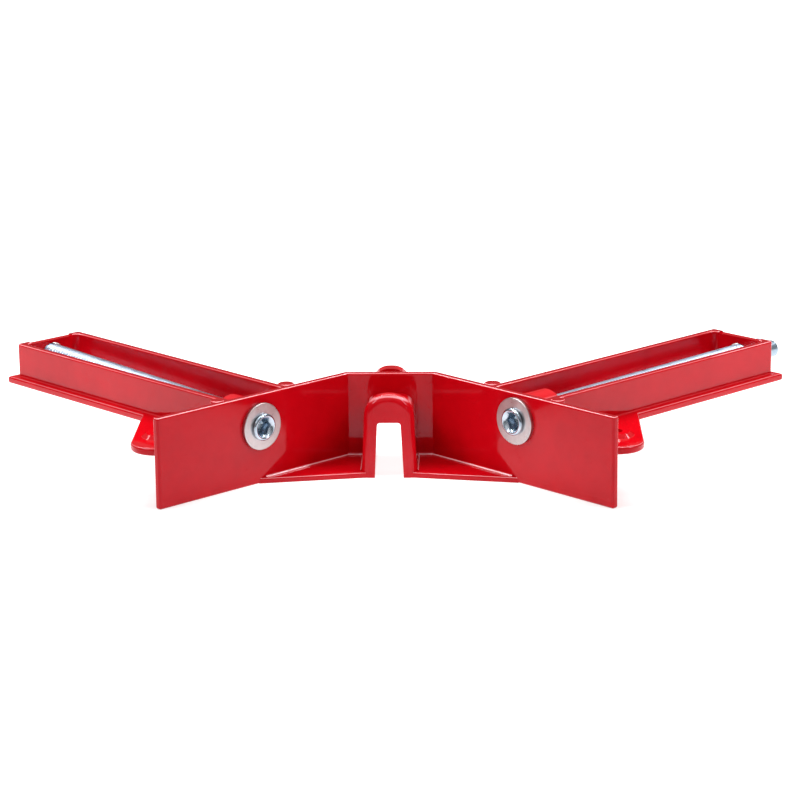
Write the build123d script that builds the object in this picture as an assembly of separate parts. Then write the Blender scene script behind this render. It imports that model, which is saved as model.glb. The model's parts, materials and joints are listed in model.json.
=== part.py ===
"""Corner clamp for mitred frames: one cast body with a V fence and two open arms,
two sliding jaws, and two long hex-socket screws that draw the jaws to the fence.

Z is up and X is across the clamp. The clamp is the same on both sides of X = 0,
apart from the length of the two screws. Lengths are in millimetres.

Each half is drawn in its own frame: u runs along the wing from the crease outward,
v runs along the arm, square to the wing, and z is up.
"""
import os
from math import cos, radians, sqrt, tan

from build123d import *

# Fence: a centre flat with a wing on each side, turned 45 degrees to the front.
FLAT_HALF_WIDTH = 17.5
WING_LENGTH = 100.0
FENCE_HEIGHT = 37.0
WALL = 3.0
WALL_EDGE_RADIUS = 0.9
HALF_TURN = 1.0 / sqrt(2.0)

# Arms: two walls and an end wall, open above and below.
SCREW_U = 47.65
ARM_OUTER_WIDTH = 33.1
ARM_END_V = 140.6
ARM_CORNER_RADIUS = 1.5
CHANNEL_WIDTH = ARM_OUTER_WIDTH - 2 * WALL
CHANNEL_END_V = ARM_END_V - WALL
CHANNEL_CORNER_RADIUS = 2.5
END_WALL_DROP = 0.7

# Base plate: flanges along the arms, an ear at each side and a gusset at the corner.
PLATE_BOTTOM = 19.5
PLATE_THICKNESS = 3.3
PLATE_TOP = PLATE_BOTTOM + PLATE_THICKNESS
PLATE_EDGE_RADIUS = 1.1
FLANGE_OVERHANG = 3.3
FLANGE_END_OVERHANG = 2.7
EAR_SIDE_X = 101.3
EAR_FRONT_Y = -62.6
EAR_CORNER_RADIUS = 11.0
GUSSET_REAR_Y = 17.0
GUSSET_HALF_WIDTH = 13.0
GUSSET_ARM_V = 38.0

# Bench holes in the ears, each in a low conical boss.
BENCH_HOLE_X = 90.0
BENCH_HOLE_Y = -44.0
BENCH_HOLE_RADIUS = 3.1
BENCH_BOSS_RADIUS = 7.8
BENCH_BOSS_TOP_RADIUS = 6.0
BENCH_BOSS_HEIGHT = 1.5

# Web: the thin floor between the wings, in front of the centre flat.
WEB_THICKNESS = 2.2
WEB_FRONT_X = 11.0
WEB_FRONT_Y = -26.8
WEB_TIP_U = 48.6
WEB_COVE_END_U = 45.6

# Saw slot: a trough through the corner, open below, under two arched lugs.
SLOT_HALF_WIDTH = 5.85
SLOT_TOP_HALF_WIDTH = 4.7
SLOT_TOP_Z = 23.0
SLOT_CORNER_RADIUS = 1.2
TROUGH_HALF_WIDTH = 11.2
TROUGH_TOP_HALF_WIDTH = 9.7
TROUGH_TOP_Z = 28.4
TROUGH_CORNER_RADIUS = 6.0
LUG_STEP = 0.1
LUG_OVERLAP = 4.0
FRONT_LUG_Y = (-26.8, -19.6)
FRONT_LUG_TOP_Z = 34.6
FRONT_LUG_RADIUS = 9.7
FRONT_LUG_EDGE = 3.2
REAR_LUG_Y = (9.5, 17.0)
REAR_LUG_TOP_Z = 36.4
REAR_LUG_RADIUS = 7.2
REAR_LUG_EDGE = 1.6

# Round posts in the outer corners between the arm walls and the fence.
INNER_POST = {"radius": 3.5, "u": SCREW_U - 19.4, "v": 6.2}
OUTER_POST = {"radius": 2.9, "u": SCREW_U + 17.6, "v": 5.4}
POST_TOP_Z = 37.0

# Coves in the inner corners of the casting. Each bites a little into both faces.
WEB_COVE_RADIUS = 1.8
PLATE_COVE_RADIUS = 1.1
COVE_BITE = 0.15
COVE_INSET = 0.5

# Screws: M12 rods with a hex socket and a neck at the fence and a plain end beyond the arm.
# Each rod tilts up a little towards the arm's end, because its holes aren't level.
SCREW_RADIUS = 6.0
SCREW_TILT = {"left": 1.96, "right": 0.57}
SCREW_FENCE_Z = {"left": 23.9, "right": 25.7}
SCREW_TIP = {"left": 152.0, "right": 161.0}
SCREW_POINT_RADIUS = 3.7
SCREW_POINT_LENGTH = 7.0
SCREW_TIP_CHAMFER = 0.6
SCREW_THREAD_CHAMFER = 1.0
SCREW_NECK_RADIUS = 4.8
SHOULDER_START = WALL + 0.5
FENCE_HOLE_RADIUS = 5.2
END_HOLE_RADIUS = 6.4
END_HOLE_PLAY = 0.8

# Screw head: the end of the neck, flared over the washer round a hex socket.
HEAD_RADIUS = 5.65
HEAD_HEIGHT = 1.5
HEAD_GAP = 0.25
SOCKET_ACROSS_FLATS = 6.0
SOCKET_DEPTH = 6.0
SOCKET_MOUTH_RADIUS = 4.3
SOCKET_MOUTH_DEPTH = 1.2

# Washers between the screw heads and the fence.
WASHER_RADIUS = 9.6
WASHER_BORE_RADIUS = 5.1
WASHER_THICKNESS = 1.6
WASHER_EDGE = 0.3

# Jaws: a clamping plate below the base plate, a slider, and a boss round the screw.
# Heights are measured down from the screw's axis at the fence.
JAW_GAP = 0.3
JAW_PLATE_HALF_WIDTH = 33.0
JAW_PLATE_THICKNESS = 5.0
JAW_TOP_DROP = 7.9
JAW_BOTTOM_DROP = 23.3
SLIDER_HALF_WIDTH = 19.0
SLIDER_THICKNESS = 4.2
SLIDER_END_V = 52.0
TONGUE_CLEARANCE = 0.3
TONGUE_TOP_DROP = 2.9
TONGUE_ROOT = 1.0
TONGUE_END_V = 44.0
BOSS_RADIUS = 9.9
BOSS_END_V = 18.5
SCREW_GROOVE_RADIUS = 6.5
RIB_THICKNESS = 3.2
RIB_OFFSETS = (-16.0, 0.0, 16.0)
RIB_DROP = 2.0
RIB_ROOT = 1.0
RIB_TOE = 2.0
RIB_END_V = 49.0
JAW_EDGE_RADIUS = 0.8

# Threaded bushes pressed into the bosses of the jaws.
BUSH_RADIUS = 8.3
BUSH_BORE_RADIUS = 6.06
BUSH_START_V = 5.0
BUSH_END_V = 19.5
BUSH_CHAMFER = 0.5

# The origin is under the middle of the clamp's footprint.
FOOTPRINT_FRONT_Y = -WING_LENGTH * HALF_TURN
FOOTPRINT_REAR_Y = (SCREW_TIP["right"] - SCREW_U + SCREW_POINT_RADIUS) * HALF_TURN
ORIGIN_Y = (FOOTPRINT_FRONT_Y + FOOTPRINT_REAR_Y) / 2

SIDES = ("right", "left")
HALF_FRAME = Location(
    Plane(
        origin=(FLAT_HALF_WIDTH, 0, 0),
        x_dir=(HALF_TURN, -HALF_TURN, 0),
        z_dir=(0, 0, 1),
    )
)


def screw_z(side, v):
    """Height of a screw's axis at a distance v along the arm."""
    return SCREW_FENCE_Z[side] + v * tan(radians(SCREW_TILT[side]))


def along_screw(side, shape):
    """Put a shape drawn along +Z from the fence's front face onto the screw's axis."""
    axis_plane = Plane(
        origin=(SCREW_U, 0, SCREW_FENCE_Z[side]),
        x_dir=(1, 0, 0),
        z_dir=(0, 1, tan(radians(SCREW_TILT[side]))),
    )
    return Location(axis_plane) * shape


def rod(radius, start, end):
    """A cylinder along +Z between two heights."""
    shape = Cylinder(radius, end - start, align=(Align.CENTER, Align.CENTER, Align.MIN))
    return Pos(0, 0, start) * shape


def on_side(side, shape):
    """Turn a shape from a half's own frame onto the clamp's right or left side."""
    placed = HALF_FRAME * shape
    return placed if side == "right" else mirror(placed, about=Plane.YZ)


def block(u, v, z):
    """A box from three (low, high) pairs."""
    size = [high - low for low, high in (u, v, z)]
    middle = [(high + low) / 2 for low, high in (u, v, z)]
    return Pos(*middle) * Box(*size)


def both_sides(shape):
    """The right-hand shape and its mirror image on the left, joined."""
    return shape + mirror(shape, about=Plane.YZ)


def fence():
    """The centre flat and its two wings, one bent wall of even thickness."""
    reach = WING_LENGTH * HALF_TURN
    wall_step = WALL * HALF_TURN
    crease_shift = WALL * tan(radians(22.5))
    front = [
        (FLAT_HALF_WIDTH, 0),
        (FLAT_HALF_WIDTH + reach, -reach),
    ]
    back = [
        (FLAT_HALF_WIDTH + reach + wall_step, -reach + wall_step),
        (FLAT_HALF_WIDTH + crease_shift, WALL),
    ]
    right = front + back
    left = [(-x, y) for x, y in reversed(right)]
    outline = make_face(Polyline(right + left, close=True))
    wall = extrude(outline, amount=FENCE_HEIGHT)
    return fillet(wall.edges(), WALL_EDGE_RADIUS)


def base_plate():
    """Flanges, ears and gusset as one flat plate with rounded edges."""
    flange_width = ARM_OUTER_WIDTH + 2 * FLANGE_OVERHANG
    flange_length = ARM_END_V + FLANGE_END_OVERHANG
    flange = Pos(SCREW_U, flange_length / 2) * Rectangle(flange_width, flange_length)

    ear_u = SCREW_U + ARM_OUTER_WIDTH / 2
    side_sum = (EAR_SIDE_X - FLAT_HALF_WIDTH) / HALF_TURN
    front_difference = -EAR_FRONT_Y / HALF_TURN
    corner = ((side_sum + front_difference) / 2, (side_sum - front_difference) / 2)
    wing_middle = WALL / 2
    ear = make_face(
        Polyline(
            (ear_u, wing_middle),
            (front_difference + wing_middle, wing_middle),
            corner,
            (ear_u, side_sum - ear_u),
            close=True,
        )
    )
    round_corner = ear.vertices().sort_by_distance(Vector(*corner))[:1]
    ear = fillet(round_corner, EAR_CORNER_RADIUS)

    inner_u = SCREW_U - ARM_OUTER_WIDTH / 2 + WALL / 2
    arm_point = HALF_FRAME * Pos(inner_u, GUSSET_ARM_V)
    fence_point = HALF_FRAME * Pos(inner_u, wing_middle)
    gusset = make_face(
        Polyline(
            (0, wing_middle),
            (FLAT_HALF_WIDTH, wing_middle),
            (fence_point.position.X, fence_point.position.Y),
            (arm_point.position.X, arm_point.position.Y),
            (GUSSET_HALF_WIDTH, GUSSET_REAR_Y),
            (0, GUSSET_REAR_Y),
            close=True,
        )
    )
    outline = both_sides(HALF_FRAME * (flange + ear) + gusset)
    plate = extrude(Pos(0, 0, PLATE_BOTTOM) * outline, amount=PLATE_THICKNESS)
    plate -= both_sides(HALF_FRAME * channel())
    rims = plate.edges().filter_by(Plane.XY)
    return fillet(rims, PLATE_EDGE_RADIUS)


def channel():
    """The open space inside an arm, in which the jaw's boss and the screw lie."""
    space = block(
        (SCREW_U - CHANNEL_WIDTH / 2, SCREW_U + CHANNEL_WIDTH / 2),
        (WALL, CHANNEL_END_V),
        (PLATE_BOTTOM - 1, FENCE_HEIGHT + 1),
    )
    far_corners = space.edges().filter_by(Axis.Z).sort_by(Axis.Y)[-2:]
    return fillet(far_corners, CHANNEL_CORNER_RADIUS)


def arm():
    """The two walls and the end wall of one arm."""
    half = ARM_OUTER_WIDTH / 2
    loop = block(
        (SCREW_U - half, SCREW_U + half),
        (WALL / 4, ARM_END_V),
        (PLATE_BOTTOM + PLATE_EDGE_RADIUS, FENCE_HEIGHT),
    )
    outer_corners = loop.edges().filter_by(Axis.Z).sort_by(Axis.Y)[-2:]
    loop = fillet(outer_corners, ARM_CORNER_RADIUS)
    loop -= channel()
    top_rims = loop.edges().filter_by(Plane.XY).group_by(Axis.Z)[-1]
    loop = fillet(top_rims, WALL_EDGE_RADIUS)
    notch_half = CHANNEL_WIDTH / 2 - CHANNEL_CORNER_RADIUS
    loop -= block(
        (SCREW_U - notch_half, SCREW_U + notch_half),
        (CHANNEL_END_V - WALL, ARM_END_V + 1),
        (FENCE_HEIGHT - END_WALL_DROP, FENCE_HEIGHT + 1),
    )
    return loop


def end_hole(side):
    """Upright slot in the arm's end wall, in which the screw's far end has play."""
    wall_middle = (CHANNEL_END_V + ARM_END_V) / 2
    outline = SlotCenterToCenter(END_HOLE_PLAY, END_HOLE_RADIUS * 2, rotation=90)
    place = Plane(
        origin=(SCREW_U, wall_middle, screw_z(side, wall_middle) - END_HOLE_PLAY / 2),
        x_dir=(1, 0, 0),
        z_dir=(0, 1, 0),
    )
    return extrude(Location(place) * outline, amount=WALL * 2, both=True)


def fence_hole(side):
    """Round hole in the wing for the screw's neck."""
    place = Plane(
        origin=(SCREW_U, WALL / 2, screw_z(side, WALL / 2)),
        z_dir=(0, 1, 0),
    )
    return Location(place) * Cylinder(FENCE_HOLE_RADIUS, WALL * 3)


def corner_posts():
    """Round posts outside the two arm walls, where they meet the fence."""
    height = POST_TOP_Z - PLATE_BOTTOM - PLATE_EDGE_RADIUS
    posts = Part()
    for place in (INNER_POST, OUTER_POST):
        post = Cylinder(place["radius"], height, align=(Align.CENTER, Align.CENTER, Align.MAX))
        rim = post.edges().filter_by(GeomType.CIRCLE).sort_by(Axis.Z)[-1]
        posts += Pos(place["u"], place["v"], POST_TOP_Z) * fillet(rim, WALL_EDGE_RADIUS)
    return posts


def web():
    """The thin floor between one wing and the saw slot."""
    wall_middle = WALL / 2
    tip = HALF_FRAME * Pos(WEB_TIP_U, 0)
    wing_inside = HALF_FRAME * Pos(WEB_TIP_U, wall_middle)
    outline = make_face(
        Polyline(
            (0, WEB_FRONT_Y + 1),
            (WEB_FRONT_X, WEB_FRONT_Y),
            (tip.position.X, tip.position.Y),
            (wing_inside.position.X, wing_inside.position.Y),
            (FLAT_HALF_WIDTH, wall_middle),
            (0, wall_middle),
            close=True,
        )
    )
    floor = extrude(outline, amount=WEB_THICKNESS)
    front_edge = floor.edges().filter_by(Plane.XY).group_by(Axis.Z)[-1].sort_by(Axis.Y)[:2]
    return fillet(front_edge, WEB_THICKNESS / 3)


def cove(length, radius):
    """A strip along +X that rounds the inner corner between the planes Y = 0 and Z = 0."""
    side = radius + COVE_INSET
    corner = Pos(-COVE_INSET, -COVE_INSET) * Rectangle(side, side, align=(Align.MIN, Align.MIN))
    middle = radius - COVE_BITE
    profile = corner - Pos(middle, middle) * Circle(radius)
    place = Plane(origin=(0, 0, 0), x_dir=(0, 1, 0), z_dir=(1, 0, 0))
    return extrude(Location(place) * profile, amount=length)


def arm_coves():
    """Coves where an arm's two walls and its end wall stand on the base plate."""
    half = ARM_OUTER_WIDTH / 2
    straight_end = ARM_END_V - ARM_CORNER_RADIUS
    along_wall = cove(straight_end - WALL, PLATE_COVE_RADIUS)
    across_end = cove(2 * (half - ARM_CORNER_RADIUS), PLATE_COVE_RADIUS)
    coves = Pos(SCREW_U + half, straight_end, PLATE_TOP) * Rot(0, 0, -90) * along_wall
    coves += Pos(SCREW_U - half, WALL, PLATE_TOP) * Rot(0, 0, 90) * along_wall
    coves += Pos(SCREW_U - half + ARM_CORNER_RADIUS, ARM_END_V, PLATE_TOP) * across_end
    return coves


def web_coves():
    """Coves where the web meets one wing, the centre flat and the trough."""
    along_wing = cove(WEB_COVE_END_U, WEB_COVE_RADIUS)
    along_flat = cove(FLAT_HALF_WIDTH - TROUGH_HALF_WIDTH, WEB_COVE_RADIUS)
    along_trough = cove(-FRONT_LUG_Y[0] - FRONT_LUG_EDGE, WEB_COVE_RADIUS)
    coves = HALF_FRAME * Pos(WEB_COVE_END_U, 0, WEB_THICKNESS) * Rot(0, 0, 180) * along_wing
    coves += Pos(FLAT_HALF_WIDTH, 0, WEB_THICKNESS) * Rot(0, 0, 180) * along_flat
    coves += Pos(TROUGH_HALF_WIDTH, 0, WEB_THICKNESS) * Rot(0, 0, -90) * along_trough
    return coves


def arch_outline(bottom_half_width, top_half_width, top_z, corner_radius):
    """Upright outline with sides that lean inward and rounded upper corners."""
    outline = Polyline(
        (-bottom_half_width, 0),
        (bottom_half_width, 0),
        (top_half_width, top_z),
        (-top_half_width, top_z),
        close=True,
    )
    face = make_face(outline)
    return fillet(face.vertices().group_by(Axis.Y)[-1], corner_radius)


def upright_prism(outline, y_range):
    """Extrude an upright outline from the first to the second distance along Y."""
    start, end = y_range
    place = Plane(origin=(0, end, 0), x_dir=(1, 0, 0), z_dir=(0, -1, 0))
    return extrude(Location(place) * outline, amount=end - start)


def lug(y_range, top_z, radius, edge, rounded_ends):
    """An arched lug over the saw slot, rounded at its front (0) or rear (-1) end, or both."""
    foot_half_width = TROUGH_HALF_WIDTH + LUG_STEP
    outline = arch_outline(foot_half_width, radius, top_z, radius - LUG_STEP)
    shape = upright_prism(outline, y_range)
    for end in rounded_ends:
        end_face = shape.faces().sort_by(Axis.Y)[end]
        rim = end_face.edges().sort_by(Axis.Z)[1:]
        shape = fillet(rim, edge)
    return shape


def saw_slot():
    """The open slot that runs through the corner from front to back."""
    outline = arch_outline(
        SLOT_HALF_WIDTH, SLOT_TOP_HALF_WIDTH, SLOT_TOP_Z, SLOT_CORNER_RADIUS
    )
    return upright_prism(outline, (FRONT_LUG_Y[0] - 5, REAR_LUG_Y[1] + 5))


def trough():
    """The wall round the saw slot, with its two arched lugs."""
    outline = arch_outline(
        TROUGH_HALF_WIDTH, TROUGH_TOP_HALF_WIDTH, TROUGH_TOP_Z, TROUGH_CORNER_RADIUS
    )
    wall = upright_prism(
        outline, (FRONT_LUG_Y[0] + LUG_OVERLAP, REAR_LUG_Y[1] - LUG_OVERLAP)
    )
    wall += lug(FRONT_LUG_Y, FRONT_LUG_TOP_Z, FRONT_LUG_RADIUS, FRONT_LUG_EDGE, (0, -1))
    wall += lug(REAR_LUG_Y, REAR_LUG_TOP_Z, REAR_LUG_RADIUS, REAR_LUG_EDGE, (-1,))
    return wall


def bench_boss():
    """Low cone round a bench hole."""
    boss = Cone(
        BENCH_BOSS_RADIUS,
        BENCH_BOSS_TOP_RADIUS,
        BENCH_BOSS_HEIGHT,
        align=(Align.CENTER, Align.CENTER, Align.MIN),
    )
    return Pos(BENCH_HOLE_X, BENCH_HOLE_Y, PLATE_TOP) * boss


def bench_hole():
    """Through hole for a bench screw."""
    return Pos(BENCH_HOLE_X, BENCH_HOLE_Y, PLATE_TOP) * Cylinder(
        BENCH_HOLE_RADIUS, PLATE_THICKNESS * 4
    )


def clamp_body():
    """The whole casting."""
    half = HALF_FRAME * (arm() + corner_posts() + arm_coves())
    half += web() + web_coves() + bench_boss()
    body = fence() + base_plate() + trough() + both_sides(half) - both_sides(bench_hole())
    for side in SIDES:
        body -= on_side(side, end_hole(side) + fence_hole(side))
    return body - saw_slot()


def screw(side):
    """Threaded rod with a necked, flared head, a hex socket and a plain point."""
    head_back = -WASHER_THICKNESS - HEAD_GAP
    head_front = head_back - HEAD_HEIGHT
    tip = SCREW_TIP[side] / cos(radians(SCREW_TILT[side]))
    thread_end = tip - SCREW_POINT_LENGTH
    thread = rod(SCREW_RADIUS, SHOULDER_START, thread_end)
    thread = chamfer(thread.edges().sort_by(Axis.Z)[-1], SCREW_THREAD_CHAMFER)
    point = rod(SCREW_POINT_RADIUS, thread_end - SCREW_THREAD_CHAMFER, tip)
    point = chamfer(point.edges().sort_by(Axis.Z)[-1], SCREW_TIP_CHAMFER)
    neck = rod(SCREW_NECK_RADIUS, head_back, SHOULDER_START)
    head = rod(HEAD_RADIUS, head_front, head_back)
    head = fillet(head.edges().sort_by(Axis.Z)[0], HEAD_HEIGHT / 3)
    hexagon = RegularPolygon(SOCKET_ACROSS_FLATS / 2, 6, major_radius=False)
    socket = extrude(Pos(0, 0, head_front) * hexagon, amount=SOCKET_DEPTH)
    mouth = Pos(0, 0, head_front) * Cone(
        SOCKET_MOUTH_RADIUS,
        SOCKET_ACROSS_FLATS / 2,
        SOCKET_MOUTH_DEPTH,
        align=(Align.CENTER, Align.CENTER, Align.MIN),
    )
    shape = thread + point + neck + head - socket - mouth
    return on_side(side, along_screw(side, shape))


def washer(side):
    """Flat washer against the fence's front face."""
    ring = Cylinder(WASHER_RADIUS, WASHER_THICKNESS)
    rims = ring.edges().filter_by(GeomType.CIRCLE)
    ring = fillet(rims, WASHER_EDGE) - Cylinder(WASHER_BORE_RADIUS, WASHER_THICKNESS * 2)
    place = Plane(
        origin=(SCREW_U, -WASHER_THICKNESS / 2, screw_z(side, 0)),
        z_dir=(0, 1, 0),
    )
    return on_side(side, Location(place) * ring)


def jaw(side):
    """One sliding jaw, closed against the fence."""
    front = WALL + JAW_GAP
    plate_back = front + JAW_PLATE_THICKNESS
    top = SCREW_FENCE_Z[side] - JAW_TOP_DROP
    bottom = SCREW_FENCE_Z[side] - JAW_BOTTOM_DROP
    plate = block(
        (SCREW_U - JAW_PLATE_HALF_WIDTH, SCREW_U + JAW_PLATE_HALF_WIDTH),
        (front, plate_back),
        (bottom, top),
    )
    plate = fillet(plate.edges(), JAW_EDGE_RADIUS)
    slider = block(
        (SCREW_U - SLIDER_HALF_WIDTH, SCREW_U + SLIDER_HALF_WIDTH),
        (front + 1, SLIDER_END_V),
        (top - SLIDER_THICKNESS, top),
    )
    slider = fillet(slider.edges(), JAW_EDGE_RADIUS)
    tongue_half = CHANNEL_WIDTH / 2 - TONGUE_CLEARANCE
    tongue = block(
        (SCREW_U - tongue_half, SCREW_U + tongue_half),
        (front, TONGUE_END_V),
        (top - TONGUE_ROOT, SCREW_FENCE_Z[side] - TONGUE_TOP_DROP),
    )
    tongue = fillet(tongue.edges().group_by(Axis.Z)[-1], JAW_EDGE_RADIUS)
    shape = plate + slider + tongue + boss(side, front, top - SLIDER_THICKNESS)
    for offset in RIB_OFFSETS:
        shape += rib(SCREW_U + offset, plate_back, bottom, top - SLIDER_THICKNESS)
    bush_seat = rod(BUSH_RADIUS, BUSH_START_V, BUSH_END_V)
    passage = rod(SCREW_GROOVE_RADIUS, 0, SLIDER_END_V + 1)
    return on_side(side, shape - along_screw(side, bush_seat + passage))


def boss(side, front, bottom):
    """Round block in the arm's channel, about the screw."""
    block_top = SCREW_FENCE_Z[side]
    low = block(
        (SCREW_U - BOSS_RADIUS, SCREW_U + BOSS_RADIUS),
        (front, BOSS_END_V),
        (bottom, block_top),
    )
    top_place = Plane(
        origin=(SCREW_U, (front + BOSS_END_V) / 2, block_top),
        z_dir=(0, 1, 0),
    )
    shape = low + Location(top_place) * Cylinder(BOSS_RADIUS, BOSS_END_V - front)
    end_rims = shape.edges().filter_by(GeomType.CIRCLE)
    return fillet(end_rims, JAW_EDGE_RADIUS)


def rib(centre_u, plate_back, bottom, slider_bottom):
    """Triangular rib that holds the clamping plate square to the slider."""
    outline = make_face(
        Polyline(
            (plate_back - RIB_ROOT, bottom + RIB_DROP),
            (plate_back + RIB_TOE, bottom + RIB_DROP),
            (RIB_END_V, slider_bottom + RIB_ROOT),
            (plate_back - RIB_ROOT, slider_bottom + RIB_ROOT),
            close=True,
        )
    )
    place = Plane(origin=(centre_u, 0, 0), x_dir=(0, 1, 0), z_dir=(1, 0, 0))
    return extrude(Location(place) * outline, amount=RIB_THICKNESS / 2, both=True)


def bush(side):
    """Threaded bush in the jaw's boss, drawn with a plain bore."""
    shape = rod(BUSH_RADIUS, BUSH_START_V, BUSH_END_V)
    shape = chamfer(shape.edges().sort_by(Axis.Z)[-1], BUSH_CHAMFER)
    shape -= rod(BUSH_BORE_RADIUS, 0, BUSH_END_V + 1)
    return on_side(side, along_screw(side, shape))


def save(name, shape):
    """Write one sub-part, moved to the clamp's origin."""
    placed = Pos(0, -ORIGIN_Y, 0) * shape
    placed.label = name
    export_step(placed, f"parts/{name}.step")


os.makedirs("parts", exist_ok=True)
save("clamp_body", clamp_body())
for side in SIDES:
    save(f"{side}_jaw", jaw(side))
    save(f"{side}_jaw_bush", bush(side))
    save(f"{side}_screw", screw(side))
    save(f"{side}_washer", washer(side))
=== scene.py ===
"""Looks of the corner clamp: enamelled casting and jaws, zinc-plated screws with real threads."""

import json
from math import cos, pi, radians, sin, tau

import bmesh
import bpy
from mathutils import Matrix, Vector


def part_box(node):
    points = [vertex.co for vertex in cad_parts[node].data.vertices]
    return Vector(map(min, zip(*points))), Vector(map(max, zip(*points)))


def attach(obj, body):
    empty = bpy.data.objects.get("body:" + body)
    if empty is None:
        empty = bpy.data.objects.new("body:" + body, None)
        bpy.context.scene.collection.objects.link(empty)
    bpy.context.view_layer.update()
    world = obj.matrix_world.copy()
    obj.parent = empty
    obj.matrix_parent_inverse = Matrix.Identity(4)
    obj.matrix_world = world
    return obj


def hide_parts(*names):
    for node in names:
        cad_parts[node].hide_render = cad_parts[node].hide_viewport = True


MM = 0.001

# Camera, in the row frame.
CAMERA_PLACE = Vector((0.03418, -1.11928, 0.31938))
CAMERA_YAW = radians(-1.557)
CAMERA_PITCH = radians(14.781)
CAMERA_ROLL = radians(-0.593)
CAMERA_LENS = 125.96
CAMERA_SENSOR = 36.0
CAMERA_NEAR = 0.05
CAMERA_FAR = 50.0

# Screw thread. The profile gives places along one pitch with their radii. The slots are the materials of the
# faces from each place to the next: 0 for the crest, 1 for the flanks and 2 for the groove, darker as painted
# shade.
THREAD_PITCH = 1.75 * MM
THREAD_CREST = 5.97 * MM
THREAD_ROOT = 4.98 * MM
THREAD_SIDES = 40
THREAD_PROFILE = ((0.0, THREAD_ROOT), (0.14, THREAD_ROOT), (0.48, THREAD_CREST), (0.70, THREAD_CREST))
THREAD_ROW_SLOTS = (2, 1, 0, 1)
THREAD_END_RADIUS = 4.7 * MM
MERGE_DISTANCE = 2e-6

# Plain point. The bevel gives distances before the tip with insets, both in chamfers.
POINT_LENGTH = 7.0 * MM
POINT_RADIUS = 3.65 * MM
POINT_CHAMFER = 0.7 * MM
POINT_BEVEL = ((1.0, 0.0), (0.3, 0.6), (0.0, 1.3))
POINT_ROOT = 1.0 * MM

# Screw neck and flared head. The rim gives shares of the thickness from the back with insets from the radius.
NECK_RADIUS = 4.75 * MM
NECK_TAPER = 0.1 * MM
NECK_ROOT = 0.3 * MM
SHOULDER = 3.6 * MM
HEAD_RADIUS = 5.6 * MM
HEAD_BACK_RADIUS = 5.15 * MM
HEAD_THICKNESS = 1.5 * MM
HEAD_RIM = (
    (0.18, 0.12 * MM),
    (0.35, 0.0),
    (0.60, 0.05 * MM),
    (0.80, 0.28 * MM),
    (0.94, 0.55 * MM),
    (1.0, 0.85 * MM),
    (0.97, 1.10 * MM),
)

# Hex socket. The funnel gives depths, in thicknesses of the head, with shares of the way from the round mouth to
# the hexagon. The drill's cone below the hexagon ends in a small flat.
SOCKET_MOUTH = 4.25 * MM
SOCKET_APOTHEM = 3.0 * MM
SOCKET_DEPTH = 5.8 * MM
SOCKET_FUNNEL = ((0.14, 0.0), (0.50, 0.45), (0.95, 0.90), (1.10, 1.0))
SOCKET_CONE_DEPTH = 0.4 * MM
SOCKET_CONE_SHARE = 0.75
SOCKET_TIP_DEPTH = 0.9 * MM
SOCKET_TIP_RADIUS = 0.3 * MM
ROUND_SIDES = 72

# The new pieces stop this far inside the CAD screw's ends.
TIP_CLEARANCE = 0.02 * MM
HEAD_CLEARANCE = 0.01 * MM

# Angles in degrees over which an edge of a piece stays sharp.
SHARP_THREAD = 25
SHARP_POINT = 30
SHARP_HEAD = 35
SHARP_FLOOR = 32

# Enamel.
ENAMEL_DARK = (0.480, 0.0011, 0.0050)
ENAMEL_LIGHT = (0.570, 0.0017, 0.0068)
ENAMEL_PATCH = (0.93, 0.93, 0.93)
ENAMEL_ROUGHNESS = (0.03, 0.09)
WHITE = (1.0, 1.0, 1.0)
BLACK = (0.0, 0.0, 0.0)

# Painted highlight on rounded upper edges and coves, as lighter enamel on slanted strips: its colour, where it
# begins and ends by the normal's rise, and how far and over what part of the noise it is broken up.
PAINTED_HIGHLIGHT = (0.97, 0.52, 0.57)
EDGE_RISE = (0.58, 0.68)
EDGE_FALL = (0.76, 0.86)
EDGE_BROKEN = 0.55
EDGE_BREAKS = (0.35, 0.60)

# The painted highlight is strongest on the fence and the web, where |x| + y is below the first distance, and on
# the arms' ends. There is less of it on the front lug, and none along the foot of the arms.
FENCE_BACK = (16.5 * MM, 19.5 * MM)
EDGE_BEHIND_FENCE = 0.36
ARM_END_SIDE = (130.0 * MM, 138.0 * MM)
ARM_END_HEIGHT = (29.0 * MM, 32.0 * MM)
EDGE_ON_ARM_ENDS = 0.85
LUG_SIDE = (15.0 * MM, 19.0 * MM)
EDGE_ON_LUG = 0.55
ARM_FOOT_HEIGHT = 23.6 * MM
ARM_FOOT_REACH = (0.7 * MM, 1.0 * MM)

# Painted shade on the walls' level tops, as darker enamel: its colour, its share, how level, and how high.
PAINTED_RIM_SHADE = (0.29, 0.0006, 0.0032)
RIM_SHARE = 0.85
RIM_LEVEL = (0.88, 0.97)
RIM_HEIGHT = (35.9 * MM, 36.5 * MM)

# Steel: how much rougher its clouds are, and over what part of the noise.
CLOUD_ROUGHER = 0.16
CLOUD_SPAN = (0.25, 0.75)

# Backdrop: its tones, its glow near the middle and at the sides by |x|, and the glow added behind the fence by y.
FLOOR_HALF_WIDTH = 6.0
FLOOR_SEGMENTS = 8
FLOOR_DARK = (0.55, 0.55, 0.55)
FLOOR_LIGHT = (0.58, 0.58, 0.58)
GLOW_MIDDLE = 0.16
GLOW_SIDES = 0.02
GLOW_SIDES_REACH = (0.10, 0.24)
GLOW_BEHIND = 0.76
GLOW_BEHIND_REACH = (-0.10, -0.02)

# Light of the studio's air, by the sine of the height above the horizon.
DIM_BELOW = 0.30
BRIGHT_ABOVE = 0.75
HORIZON_LIGHT = 0.15
OVERHEAD_LIGHT = 0.65

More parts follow.
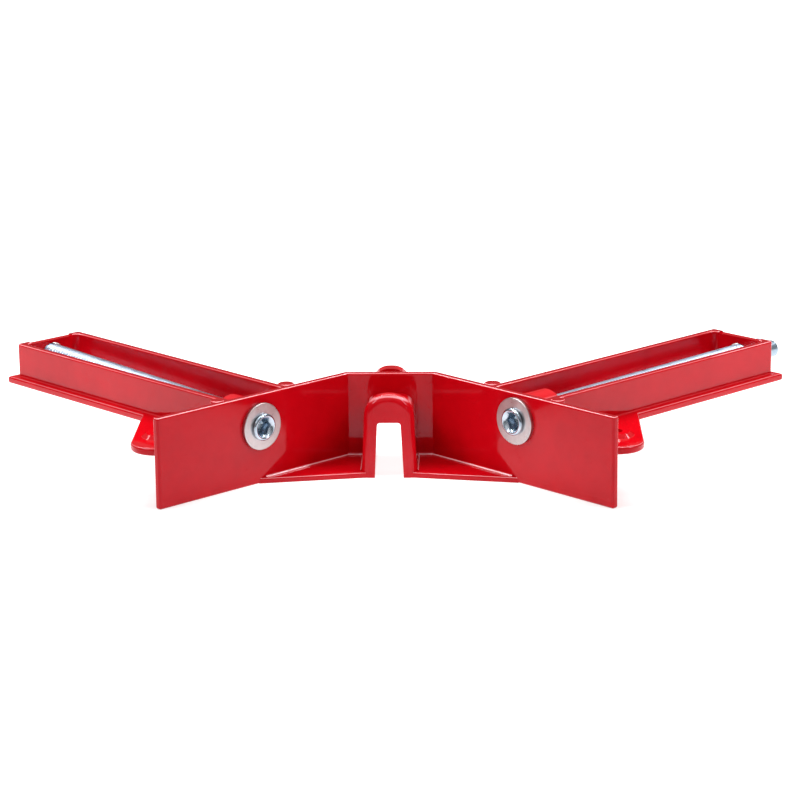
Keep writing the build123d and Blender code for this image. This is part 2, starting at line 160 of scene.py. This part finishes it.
# Area lights, aimed at the origin: name, place, size and power in watts.
LIGHTS = (
    ("soft_front", (-0.5, -1.5, 1.1), (1.2, 0.9), 0.9),
    ("strip_high", (0.0, -0.22, 1.05), (2.0, 0.09), 6.0),
    ("strip_top", (0.0, 0.42, 0.95), (2.0, 0.09), 15.0),
    ("soft_left", (-0.9, -0.45, 0.9), (0.3, 0.5), 4.3),
    ("soft_right", (1.0, -0.35, 0.8), (0.3, 0.5), 3.9),
)

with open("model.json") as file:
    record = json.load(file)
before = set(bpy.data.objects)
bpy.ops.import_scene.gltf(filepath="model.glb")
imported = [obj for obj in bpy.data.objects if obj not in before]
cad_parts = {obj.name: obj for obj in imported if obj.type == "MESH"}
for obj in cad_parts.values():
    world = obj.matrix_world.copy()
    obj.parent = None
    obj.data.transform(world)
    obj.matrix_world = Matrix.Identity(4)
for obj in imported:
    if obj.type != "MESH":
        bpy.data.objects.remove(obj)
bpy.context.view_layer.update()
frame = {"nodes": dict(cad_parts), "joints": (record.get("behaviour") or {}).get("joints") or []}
nodes = frame["nodes"]
joints = {joint["name"]: joint for joint in frame["joints"]}


# ---------------------------------------------------------------- materials

class Shader:
    """A Principled material and short ways to add nodes to it."""

    def __init__(self, name):
        self.material = bpy.data.materials.new(name)
        self.material.use_nodes = True
        self.tree = self.material.node_tree
        self.surface = self.tree.nodes["Principled BSDF"]
        coordinates = self.add("ShaderNodeTexCoord")
        self.place = coordinates.outputs["Object"]
        self.normal = coordinates.outputs["Normal"]

    def add(self, kind, **settings):
        node = self.tree.nodes.new(kind)
        for key, value in settings.items():
            setattr(node, key, value)
        return node

    def join(self, source, socket):
        self.tree.links.new(source, socket)

    def constants(self, **values):
        for key, value in values.items():
            self.surface.inputs[key.replace("_", " ")].default_value = value

    def noise(self, scale, detail, roughness=0.5):
        node = self.add("ShaderNodeTexNoise")
        node.inputs["Scale"].default_value = scale
        node.inputs["Detail"].default_value = detail
        node.inputs["Roughness"].default_value = roughness
        self.join(self.place, node.inputs["Vector"])
        return node.outputs["Fac"]

    def ramp(self, source, stops):
        node = self.add("ShaderNodeValToRGB")
        for element, (position, colour) in zip(node.color_ramp.elements, stops):
            element.position = position
            element.color = (*colour, 1.0)
        self.join(source, node.inputs["Fac"])
        return node.outputs["Color"]

    def remap(self, source, low, high, from_low=0.0, from_high=1.0):
        node = self.add("ShaderNodeMapRange")
        node.inputs["From Min"].default_value = from_low
        node.inputs["From Max"].default_value = from_high
        node.inputs["To Min"].default_value = low
        node.inputs["To Max"].default_value = high
        self.join(source, node.inputs["Value"])
        return node.outputs["Result"]

    def mix(self, factor, first, second, blend="MIX"):
        node = self.add("ShaderNodeMix", data_type="RGBA", blend_type=blend)
        if isinstance(factor, float):
            node.inputs["Factor"].default_value = factor
        else:
            self.join(factor, node.inputs["Factor"])
        colour_a, colour_b = [s for s in node.inputs if s.type == "RGBA"]
        for value, socket in ((first, colour_a), (second, colour_b)):
            if isinstance(value, tuple):
                socket.default_value = (*value, 1.0)
            else:
                self.join(value, socket)
        return [s for s in node.outputs if s.type == "RGBA"][0]

    def math(self, operation, first, second=None):
        node = self.add("ShaderNodeMath", operation=operation)
        for value, socket in zip((first, second), node.inputs):
            if isinstance(value, float):
                socket.default_value = value
            elif value is not None:
                self.join(value, socket)
        return node.outputs["Value"]

    def split(self, vector):
        node = self.add("ShaderNodeSeparateXYZ")
        self.join(vector, node.inputs["Vector"])
        return [node.outputs[letter] for letter in "XYZ"]

    def bump(self, source, distance, strength, before=None):
        node = self.add("ShaderNodeBump")
        node.inputs["Distance"].default_value = distance
        node.inputs["Strength"].default_value = strength
        self.join(source, node.inputs["Height"])
        if before is not None:
            self.join(before, node.inputs["Normal"])
        return node.outputs["Normal"]


def highlight_share(shader, uneven):
    """How much highlight is painted at a place on a rounded upper edge or a cove: its normal is neither level nor
    upright.
    """
    slant = shader.split(shader.normal)[2]
    rise = shader.remap(slant, 0.0, 1.0, *EDGE_RISE)
    fall = shader.remap(slant, 1.0, 0.0, *EDGE_FALL)
    broken = shader.remap(uneven, EDGE_BROKEN, 1.0, *EDGE_BREAKS)
    x, y, z = shader.split(shader.place)
    sideways = shader.math("ABSOLUTE", x)
    from_corner = shader.math("ADD", sideways, y)
    fence = shader.remap(from_corner, 1.0, EDGE_BEHIND_FENCE, *FENCE_BACK)
    ends = shader.remap(sideways, 0.0, EDGE_ON_ARM_ENDS, *ARM_END_SIDE)
    ends = shader.math("MULTIPLY", ends, shader.remap(z, 0.0, 1.0, *ARM_END_HEIGHT))
    fence = shader.math("MAXIMUM", fence, ends)
    lug = shader.remap(sideways, EDGE_ON_LUG, 1.0, *LUG_SIDE)
    above_plate = shader.math("ABSOLUTE", shader.math("SUBTRACT", z, ARM_FOOT_HEIGHT))
    foot = shader.remap(above_plate, 0.0, 1.0, *ARM_FOOT_REACH)
    band = shader.math("MULTIPLY", rise, fall)
    places = shader.math("MULTIPLY", shader.math("MULTIPLY", fence, lug), foot)
    return shader.math("MULTIPLY", shader.math("MULTIPLY", band, places), broken)


def rim_shade_share(shader):
    """How far a place is on the level top of a wall, where shade is painted in as darker enamel."""
    level = shader.remap(shader.split(shader.normal)[2], 0.0, RIM_SHARE, *RIM_LEVEL)
    high = shader.remap(shader.split(shader.place)[2], 0.0, 1.0, *RIM_HEIGHT)
    return shader.math("MULTIPLY", level, high)


def enamel(name):
    """Gloss red enamel, a little wavy over the casting, with specks under the paint, painted shade on the walls'
    level tops and painted highlights on rounded edges and coves.
    """
    shader = Shader(name)
    broad = shader.noise(scale=22.0, detail=3.0, roughness=0.5)
    mottled = shader.noise(scale=150.0, detail=4.0, roughness=0.6)
    tone = shader.ramp(broad, ((0.30, ENAMEL_DARK), (0.70, ENAMEL_LIGHT)))
    patches = shader.ramp(mottled, ((0.35, ENAMEL_PATCH), (0.65, WHITE)))
    paint = shader.mix(1.0, tone, patches, "MULTIPLY")
    # Painted shade: darker enamel on the walls' level tops.
    paint = shader.mix(rim_shade_share(shader), paint, PAINTED_RIM_SHADE)
    # Painted highlight: lighter enamel on rounded upper edges and coves.
    paint = shader.mix(highlight_share(shader, broad), paint, PAINTED_HIGHLIGHT)
    shader.join(paint, shader.surface.inputs["Base Color"])
    shader.join(shader.remap(mottled, *ENAMEL_ROUGHNESS), shader.surface.inputs["Roughness"])
    shader.constants(IOR=1.5, Specular_IOR_Level=0.26, Specular_Tint=(0.95, 0.86, 1.0, 1.0))
    swell = shader.noise(scale=38.0, detail=2.0, roughness=0.4)
    waves = shader.bump(swell, distance=0.0010, strength=0.13)
    orange = shader.noise(scale=260.0, detail=2.0, roughness=0.5)
    peel = shader.bump(orange, distance=0.00010, strength=0.06, before=waves)
    dust = shader.noise(scale=900.0, detail=1.0, roughness=0.5)
    specks = shader.ramp(dust, ((0.70, BLACK), (0.78, WHITE)))
    grit = shader.bump(specks, distance=0.00012, strength=0.5, before=peel)
    shader.join(grit, shader.surface.inputs["Normal"])
    return shader.material


def plated(name, colour, dark, roughness, unevenness=0.35):
    """Zinc-plated or turned steel: a cloudy, slightly uneven sheen with a fine grain."""
    shader = Shader(name)
    cloud = shader.noise(scale=220.0, detail=4.0, roughness=0.6)
    fine = shader.noise(scale=2600.0, detail=3.0, roughness=0.6)
    tone = shader.ramp(cloud, ((0.32, dark), (0.66, colour)))
    shader.join(tone, shader.surface.inputs["Base Color"])
    shader.constants(Metallic=1.0)
    sheen = shader.remap(cloud, roughness, roughness + CLOUD_ROUGHER, *CLOUD_SPAN)
    shader.join(sheen, shader.surface.inputs["Roughness"])
    pits = shader.bump(cloud, distance=0.00015, strength=unevenness)
    grain = shader.bump(fine, distance=0.00003, strength=0.5, before=pits)
    shader.join(grain, shader.surface.inputs["Normal"])
    return shader.material


def backdrop(name):
    """White sweep that glows behind the fence, like a light table, and faintly in front of it."""
    shader = Shader(name)
    tone = shader.ramp(shader.noise(scale=3.0, detail=2.0), ((0.3, FLOOR_DARK), (0.7, FLOOR_LIGHT)))
    shader.join(tone, shader.surface.inputs["Base Color"])
    shader.constants(Roughness=0.9, Emission_Color=(*WHITE, 1.0))
    x, y, _ = shader.split(shader.place)
    faint = shader.remap(shader.math("ABSOLUTE", x), GLOW_MIDDLE, GLOW_SIDES, *GLOW_SIDES_REACH)
    behind = shader.remap(y, 0.0, GLOW_BEHIND, *GLOW_BEHIND_REACH)
    shader.join(shader.math("ADD", faint, behind), shader.surface.inputs["Emission Strength"])
    return shader.material


red = enamel("red_enamel")
thread_steel = plated("thread_zinc", (0.82, 0.86, 0.92), (0.74, 0.79, 0.87), 0.24, 0.08)
# Flanks and groove: the same zinc in darker tones, painted shade in the thread's recesses.
flank_shade_steel = plated("flank_shade_zinc", (0.42, 0.49, 0.61), (0.35, 0.42, 0.54), 0.26, 0.08)
groove_shade_steel = plated("groove_shade_zinc", (0.20, 0.25, 0.35), (0.14, 0.18, 0.27), 0.32, 0.08)
point_steel = plated("point_zinc", (0.36, 0.45, 0.53), (0.28, 0.36, 0.44), 0.26, 0.15)
screw_steel = plated("screw_zinc", (0.58, 0.66, 0.74), (0.32, 0.40, 0.49), 0.12)
washer_steel = plated("washer_zinc", (0.60, 0.57, 0.575), (0.48, 0.45, 0.455), 0.24)
bush_steel = plated("bush_steel", (0.60, 0.60, 0.60), (0.44, 0.44, 0.44), 0.28)


# ---------------------------------------------------------------- screws

def finish_mesh(name, bm, materials, sharp_angle):
    mesh = bpy.data.meshes.new(name)
    bm.normal_update()
    bm.to_mesh(mesh)
    bm.free()
    for material in materials:
        mesh.materials.append(material)
    for polygon in mesh.polygons:
        polygon.use_smooth = True
    mesh.set_sharp_from_angle(angle=radians(sharp_angle))
    obj = bpy.data.objects.new(name, mesh)
    bpy.context.scene.collection.objects.link(obj)
    return obj


def ring(bm, height, radius_at):
    """A ring of vertices at a height, with a radius for each angle."""
    points = []
    for index in range(ROUND_SIDES):
        angle = tau * index / ROUND_SIDES
        radius = radius_at(angle)
        points.append(bm.verts.new((radius * cos(angle), radius * sin(angle), height)))
    return points


def bridge(bm, lower, upper):
    """Quads between two rings of the same number of vertices."""
    count = len(lower)
    for index in range(count):
        after = (index + 1) % count
        bm.faces.new((lower[index], lower[after], upper[after], upper[index]))


def skin(bm, profile):
    """A closed surface through rings, given as heights with their radii, and capped at both ends."""
    rings = [ring(bm, height, radius_at) for height, radius_at in profile]
    for lower, upper in zip(rings, rings[1:]):
        bridge(bm, lower, upper)
    bm.faces.new(list(reversed(rings[0])))
    bm.faces.new(rings[-1])


def even(radius):
    """The same radius at every angle."""
    return lambda angle: radius


def threaded_rod(bm, start, end):
    """A rod with a right-hand thread from start to end along Z, with bevelled ends."""
    steps = len(THREAD_PROFILE)
    turns = int((end - start) / THREAD_PITCH) + 2
    rows = []
    for row in range(-steps, turns * steps):
        fraction, crest = THREAD_PROFILE[row % steps]
        turn = row // steps
        line = []
        for index in range(THREAD_SIDES + 1):
            along = start + THREAD_PITCH * (turn + fraction + index / THREAD_SIDES)
            along = min(max(along, start), end)
            from_end = min(along - start, end - along)
            radius = min(crest, THREAD_END_RADIUS + from_end)
            angle = tau * index / THREAD_SIDES
            line.append(bm.verts.new((radius * cos(angle), radius * sin(angle), along)))
        rows.append(line)
    for number, (lower, upper) in enumerate(zip(rows, rows[1:])):
        slot = THREAD_ROW_SLOTS[number % steps]
        for index in range(THREAD_SIDES):
            corners = (lower[index], lower[index + 1], upper[index + 1], upper[index])
            bm.faces.new(corners).material_index = slot
    bmesh.ops.remove_doubles(bm, verts=bm.verts, dist=MERGE_DISTANCE)
    bmesh.ops.dissolve_degenerate(bm, edges=bm.edges, dist=MERGE_DISTANCE)
    rims = [edge for edge in bm.edges if edge.is_boundary]
    bmesh.ops.holes_fill(bm, edges=rims, sides=0)


def hexagon_radius(angle):
    """Distance from the socket's axis to its flats at an angle."""
    within = (angle % (pi / 3)) - pi / 6
    return SOCKET_APOTHEM / cos(within)


def flared_head(bm, back, front):
    """Neck, swaged rim and hex socket."""
    def eased(share):
        return lambda angle: (1 - share) * SOCKET_MOUTH + share * hexagon_radius(angle)

    thick = back - front
    bottom = front + SOCKET_DEPTH
    profile = [
        (SHOULDER + NECK_ROOT, even(NECK_RADIUS - NECK_TAPER)),
        (back, even(NECK_RADIUS)),
        (back, even(HEAD_BACK_RADIUS)),
    ]
    profile += [(back - share * thick, even(HEAD_RADIUS - inset)) for share, inset in HEAD_RIM]
    profile += [(front + depth * thick, eased(share)) for depth, share in SOCKET_FUNNEL]
    profile += [
        (bottom, hexagon_radius),
        (bottom + SOCKET_CONE_DEPTH, lambda angle: SOCKET_CONE_SHARE * hexagon_radius(angle)),
        (bottom + SOCKET_TIP_DEPTH, even(SOCKET_TIP_RADIUS)),
    ]
    skin(bm, profile)


def plain_point(bm, start, end):
    """The turned-down end of the rod, bevelled at its tip."""
    profile = [(start, even(POINT_RADIUS))]
    profile += [
        (end - before * POINT_CHAMFER, even(POINT_RADIUS - inset * POINT_CHAMFER))
        for before, inset in POINT_BEVEL
    ]
    skin(bm, profile)


def make_screw(side):
    """Threaded rod, plain point and flared head, between the CAD screw's own ends."""
    name = side + "_screw"
    joint = joints[side + "_screw_turn"]
    along = -Vector(joint["axis"]).normalized()
    origin = Vector(joint["pos_m"])
    reach = [(vertex.co - origin).dot(along) for vertex in nodes[name].data.vertices]
    front, tip = min(reach), max(reach)
    up = (Vector((0, 0, 1)) - along * along.z).normalized()
    across = up.cross(along)
    place = Matrix.Translation(origin) @ Matrix((across, up, along)).transposed().to_4x4()

    thread = bmesh.new()
    threaded_rod(thread, SHOULDER, tip - POINT_LENGTH)
    point = bmesh.new()
    plain_point(point, tip - POINT_LENGTH - POINT_ROOT, tip - TIP_CLEARANCE)
    head = bmesh.new()
    flared_head(head, front + HEAD_THICKNESS, front + HEAD_CLEARANCE)
    parts = (
        ("thread", thread, (thread_steel, flank_shade_steel, groove_shade_steel), SHARP_THREAD),
        ("point", point, (point_steel,), SHARP_POINT),
        ("head", head, (screw_steel,), SHARP_HEAD),
    )
    for label, bm, steels, sharp_angle in parts:
        bmesh.ops.recalc_face_normals(bm, faces=bm.faces)
        piece = finish_mesh(name + "_" + label, bm, steels, sharp_angle)
        piece.data.transform(place)
        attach(piece, name)
        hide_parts(name)


for side in ("right", "left"):
    make_screw(side)

finishes = {
    "clamp_body": red,
    "right_jaw": red,
    "left_jaw": red,
    "right_washer": washer_steel,
    "left_washer": washer_steel,
    "right_jaw_bush": bush_steel,
    "left_jaw_bush": bush_steel,
}
for name, material in finishes.items():
    nodes[name].data.materials.clear()
    nodes[name].data.materials.append(material)


# ---------------------------------------------------------------- stage

def add_floor():
    bm = bmesh.new()
    segments = FLOOR_SEGMENTS
    bmesh.ops.create_grid(bm, x_segments=segments, y_segments=segments, size=FLOOR_HALF_WIDTH)
    floor = finish_mesh("floor", bm, (backdrop("backdrop"),), SHARP_FLOOR)
    floor.location.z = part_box("clamp_body")[0].z


def add_area(name, place, size, power):
    data = bpy.data.lights.new(name, "AREA")
    data.shape = "RECTANGLE"
    data.size, data.size_y = size
    data.energy = power
    light = bpy.data.objects.new(name, data)
    light.location = place
    light.rotation_euler = (-Vector(place)).to_track_quat("-Z", "Y").to_euler()
    bpy.context.scene.collection.objects.link(light)


def add_camera():
    forward = Vector((
        sin(CAMERA_YAW) * cos(CAMERA_PITCH),
        cos(CAMERA_YAW) * cos(CAMERA_PITCH),
        -sin(CAMERA_PITCH),
    ))
    level = Vector((cos(CAMERA_YAW), -sin(CAMERA_YAW), 0))
    upright = level.cross(forward)
    right = level * cos(CAMERA_ROLL) + upright * sin(CAMERA_ROLL)
    up = upright * cos(CAMERA_ROLL) - level * sin(CAMERA_ROLL)
    data = bpy.data.cameras.new("camera")
    data.lens = CAMERA_LENS
    data.sensor_width = CAMERA_SENSOR
    data.clip_start = CAMERA_NEAR
    data.clip_end = CAMERA_FAR
    camera = bpy.data.objects.new("camera", data)
    turn = Matrix((right, up, -forward)).transposed().to_4x4()
    camera.matrix_world = Matrix.Translation(CAMERA_PLACE) @ turn
    bpy.context.scene.collection.objects.link(camera)
    bpy.context.scene.camera = camera


def add_world():
    """A studio that is dim near the horizon and bright overhead."""
    world = bpy.data.worlds.new("studio")
    world.use_nodes = True
    tree = world.node_tree
    background = tree.nodes["Background"]
    place = tree.nodes.new("ShaderNodeTexCoord")
    split = tree.nodes.new("ShaderNodeSeparateXYZ")
    height = tree.nodes.new("ShaderNodeMapRange")
    height.inputs["From Min"].default_value = DIM_BELOW
    height.inputs["From Max"].default_value = BRIGHT_ABOVE
    height.inputs["To Min"].default_value = HORIZON_LIGHT
    height.inputs["To Max"].default_value = OVERHEAD_LIGHT
    tree.links.new(place.outputs["Generated"], split.inputs["Vector"])
    tree.links.new(split.outputs["Z"], height.inputs["Value"])
    tree.links.new(height.outputs["Result"], background.inputs["Strength"])
    background.inputs["Color"].default_value = (*WHITE, 1.0)
    bpy.context.scene.world = world


add_floor()
add_camera()
for name, place, size, power in LIGHTS:
    add_area(name, place, size, power)
add_world()
bpy.context.scene.view_settings.view_transform = "Standard"
bpy.context.scene.view_settings.look = "None"
